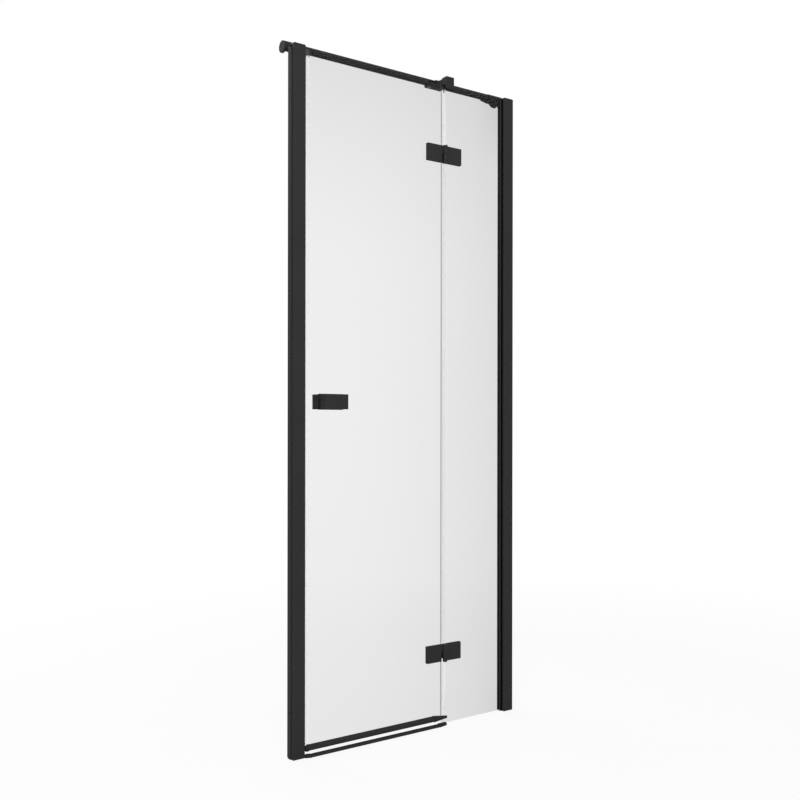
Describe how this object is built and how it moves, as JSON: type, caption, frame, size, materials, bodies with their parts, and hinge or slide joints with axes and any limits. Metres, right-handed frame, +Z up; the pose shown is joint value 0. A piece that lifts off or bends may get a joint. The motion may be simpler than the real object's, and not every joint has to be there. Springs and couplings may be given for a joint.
{
  "type": "shower door",
  "caption": "Framed niche shower door: hinged glass pane hung on a fixed pane between wall posts, with block handle, stabiliser bar, drip rail and low threshold.",
  "frame": {"origin": "foot of the hinge-side wall face, on the middle plane of the glass, at tray level", "axes": "+X out of the hinge-side wall face into that wall, +Y from the dry side to the wet side, +Z up"},
  "size_m": [0.8, 0.0985, 1.9756],
  "materials": {
    "black_coated_metal": "matt powder coat",
    "black_plastic": "matt moulded",
    "clear_glass": "clear toughened, ground edges",
    "clear_seal": "clear soft extrusion",
    "soft_gasket": "matt",
    "magnet_strip": "matt, magnet in a pale sheath",
    "plain_steel": "bright",
    "bush_plastic": "matt black"
  },
  "bodies": {
    "frame": {"bar_glass_clamp": "black_coated_metal", "bar_glass_clamp_pad": "soft_gasket", "bar_glass_clamp_screws": "plain_steel", "bar_grub_screws": "plain_steel", "fixed_pane": "clear_glass", "fixed_pane_bedding": "clear_seal", "fixed_pane_edge_seal": "clear_seal", "fixed_pane_post": "black_coated_metal", "fixed_pane_post_cap": "black_plastic", "fixed_pane_post_gasket": "soft_gasket", "fixed_pane_post_screws": "black_coated_metal", "glazing_gasket": "soft_gasket", "glazing_profile": "black_coated_metal", "hinge_bar_bracket": "black_coated_metal", "hinge_wall_channel": "black_coated_metal", "lower_hinge_fixed_back_plate": "black_coated_metal", "lower_hinge_fixed_gaskets": "soft_gasket", "lower_hinge_fixed_leaf": "black_coated_metal", "lower_hinge_fixed_screws": "plain_steel", "lower_hinge_pin": "plain_steel", "stabiliser_bar": "black_coated_metal", "strike_bar_bracket": "black_coated_metal", "strike_magnet": "magnet_strip", "strike_magnet_carrier": "black_plastic", "strike_post": "black_coated_metal", "strike_post_cap": "black_plastic", "strike_post_screws": "black_coated_metal", "strike_wall_channel": "black_coated_metal", "threshold_end_caps": "black_plastic", "threshold_strip": "black_coated_metal", "upper_hinge_fixed_back_plate": "black_coated_metal", "upper_hinge_fixed_gaskets": "soft_gasket", "upper_hinge_fixed_leaf": "black_coated_metal", "upper_hinge_fixed_screws": "plain_steel", "upper_hinge_pin": "plain_steel"},
    "door": {"door_drip_rail": "black_coated_metal", "door_drip_rail_ends": "black_plastic", "door_edge_seal": "clear_seal", "door_magnet": "magnet_strip", "door_pane": "clear_glass", "door_sweep_seal": "clear_seal", "handle_gaskets": "soft_gasket", "handle_grub_screws": "plain_steel", "handle_inside": "black_coated_metal", "handle_outside": "black_coated_metal", "handle_studs": "plain_steel", "lower_hinge_bush": "bush_plastic", "lower_hinge_door_back_plate": "black_coated_metal", "lower_hinge_door_gaskets": "soft_gasket", "lower_hinge_door_leaf": "black_coated_metal", "lower_hinge_door_screws": "plain_steel", "upper_hinge_bush": "bush_plastic", "upper_hinge_door_back_plate": "black_coated_metal", "upper_hinge_door_gaskets": "soft_gasket", "upper_hinge_door_leaf": "black_coated_metal", "upper_hinge_door_screws": "plain_steel"}
  },
  "joints": [
    {"name": "door_swing", "type": "hinge", "parent": "frame", "child": "door", "pos_m": [-0.275, -0.016, 0], "axis": [0, 0, 1], "range_deg": [0, 110]}
  ]
}
